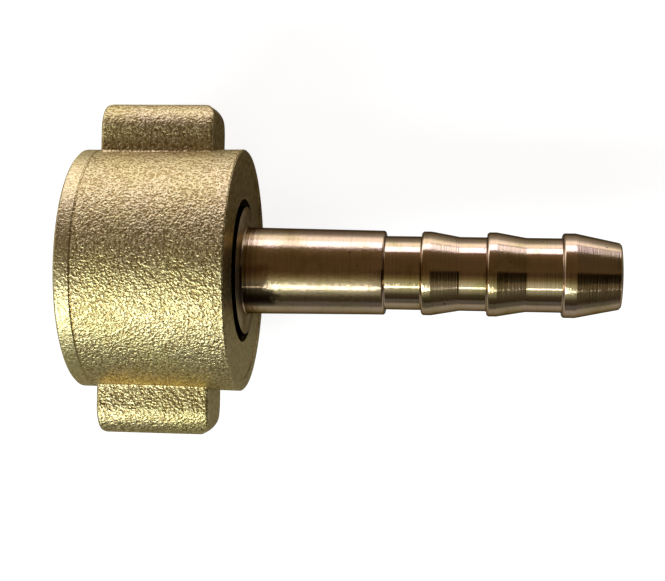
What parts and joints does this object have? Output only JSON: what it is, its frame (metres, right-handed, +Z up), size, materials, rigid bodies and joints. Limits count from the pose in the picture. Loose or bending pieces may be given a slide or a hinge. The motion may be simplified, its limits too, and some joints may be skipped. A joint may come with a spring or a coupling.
{
  "type": "wing nut and hose tail fitting",
  "caption": "Loose forged brass wing nut with a female pipe thread, holding a turned hose tail with a long stem, barbs and a flat rubber seal.",
  "frame": {"origin": "middle of the washer's open face inside the nut, where the end of the male thread seats", "axes": "+X along the common axis towards the tip of the tail, -X out of the nut's threaded mouth, wings along Y, +Z up"},
  "size_m": [0.0586, 0.0364, 0.0266],
  "materials": {
    "forged_brass": "blasted forging, fine orange-peel grain",
    "turned_brass": "bright turned, slightly pink",
    "black_rubber": "matt moulded"
  },
  "bodies": {
    "nut": {"wing_nut": "forged_brass"},
    "washer": {"sealing_washer": "black_rubber"},
    "tail": {"hose_tail": "turned_brass"}
  },
  "joints": [
    {"name": "tail_slide", "type": "slide", "parent": "nut", "child": "washer", "axis": [-1, 0, 0], "range_m": [0, 0.0155]},
    {"name": "tail_turn", "type": "hinge", "parent": "washer", "child": "tail", "pos_m": [0, 0, 0], "axis": [1, 0, 0], "continuous": true}
  ]
}
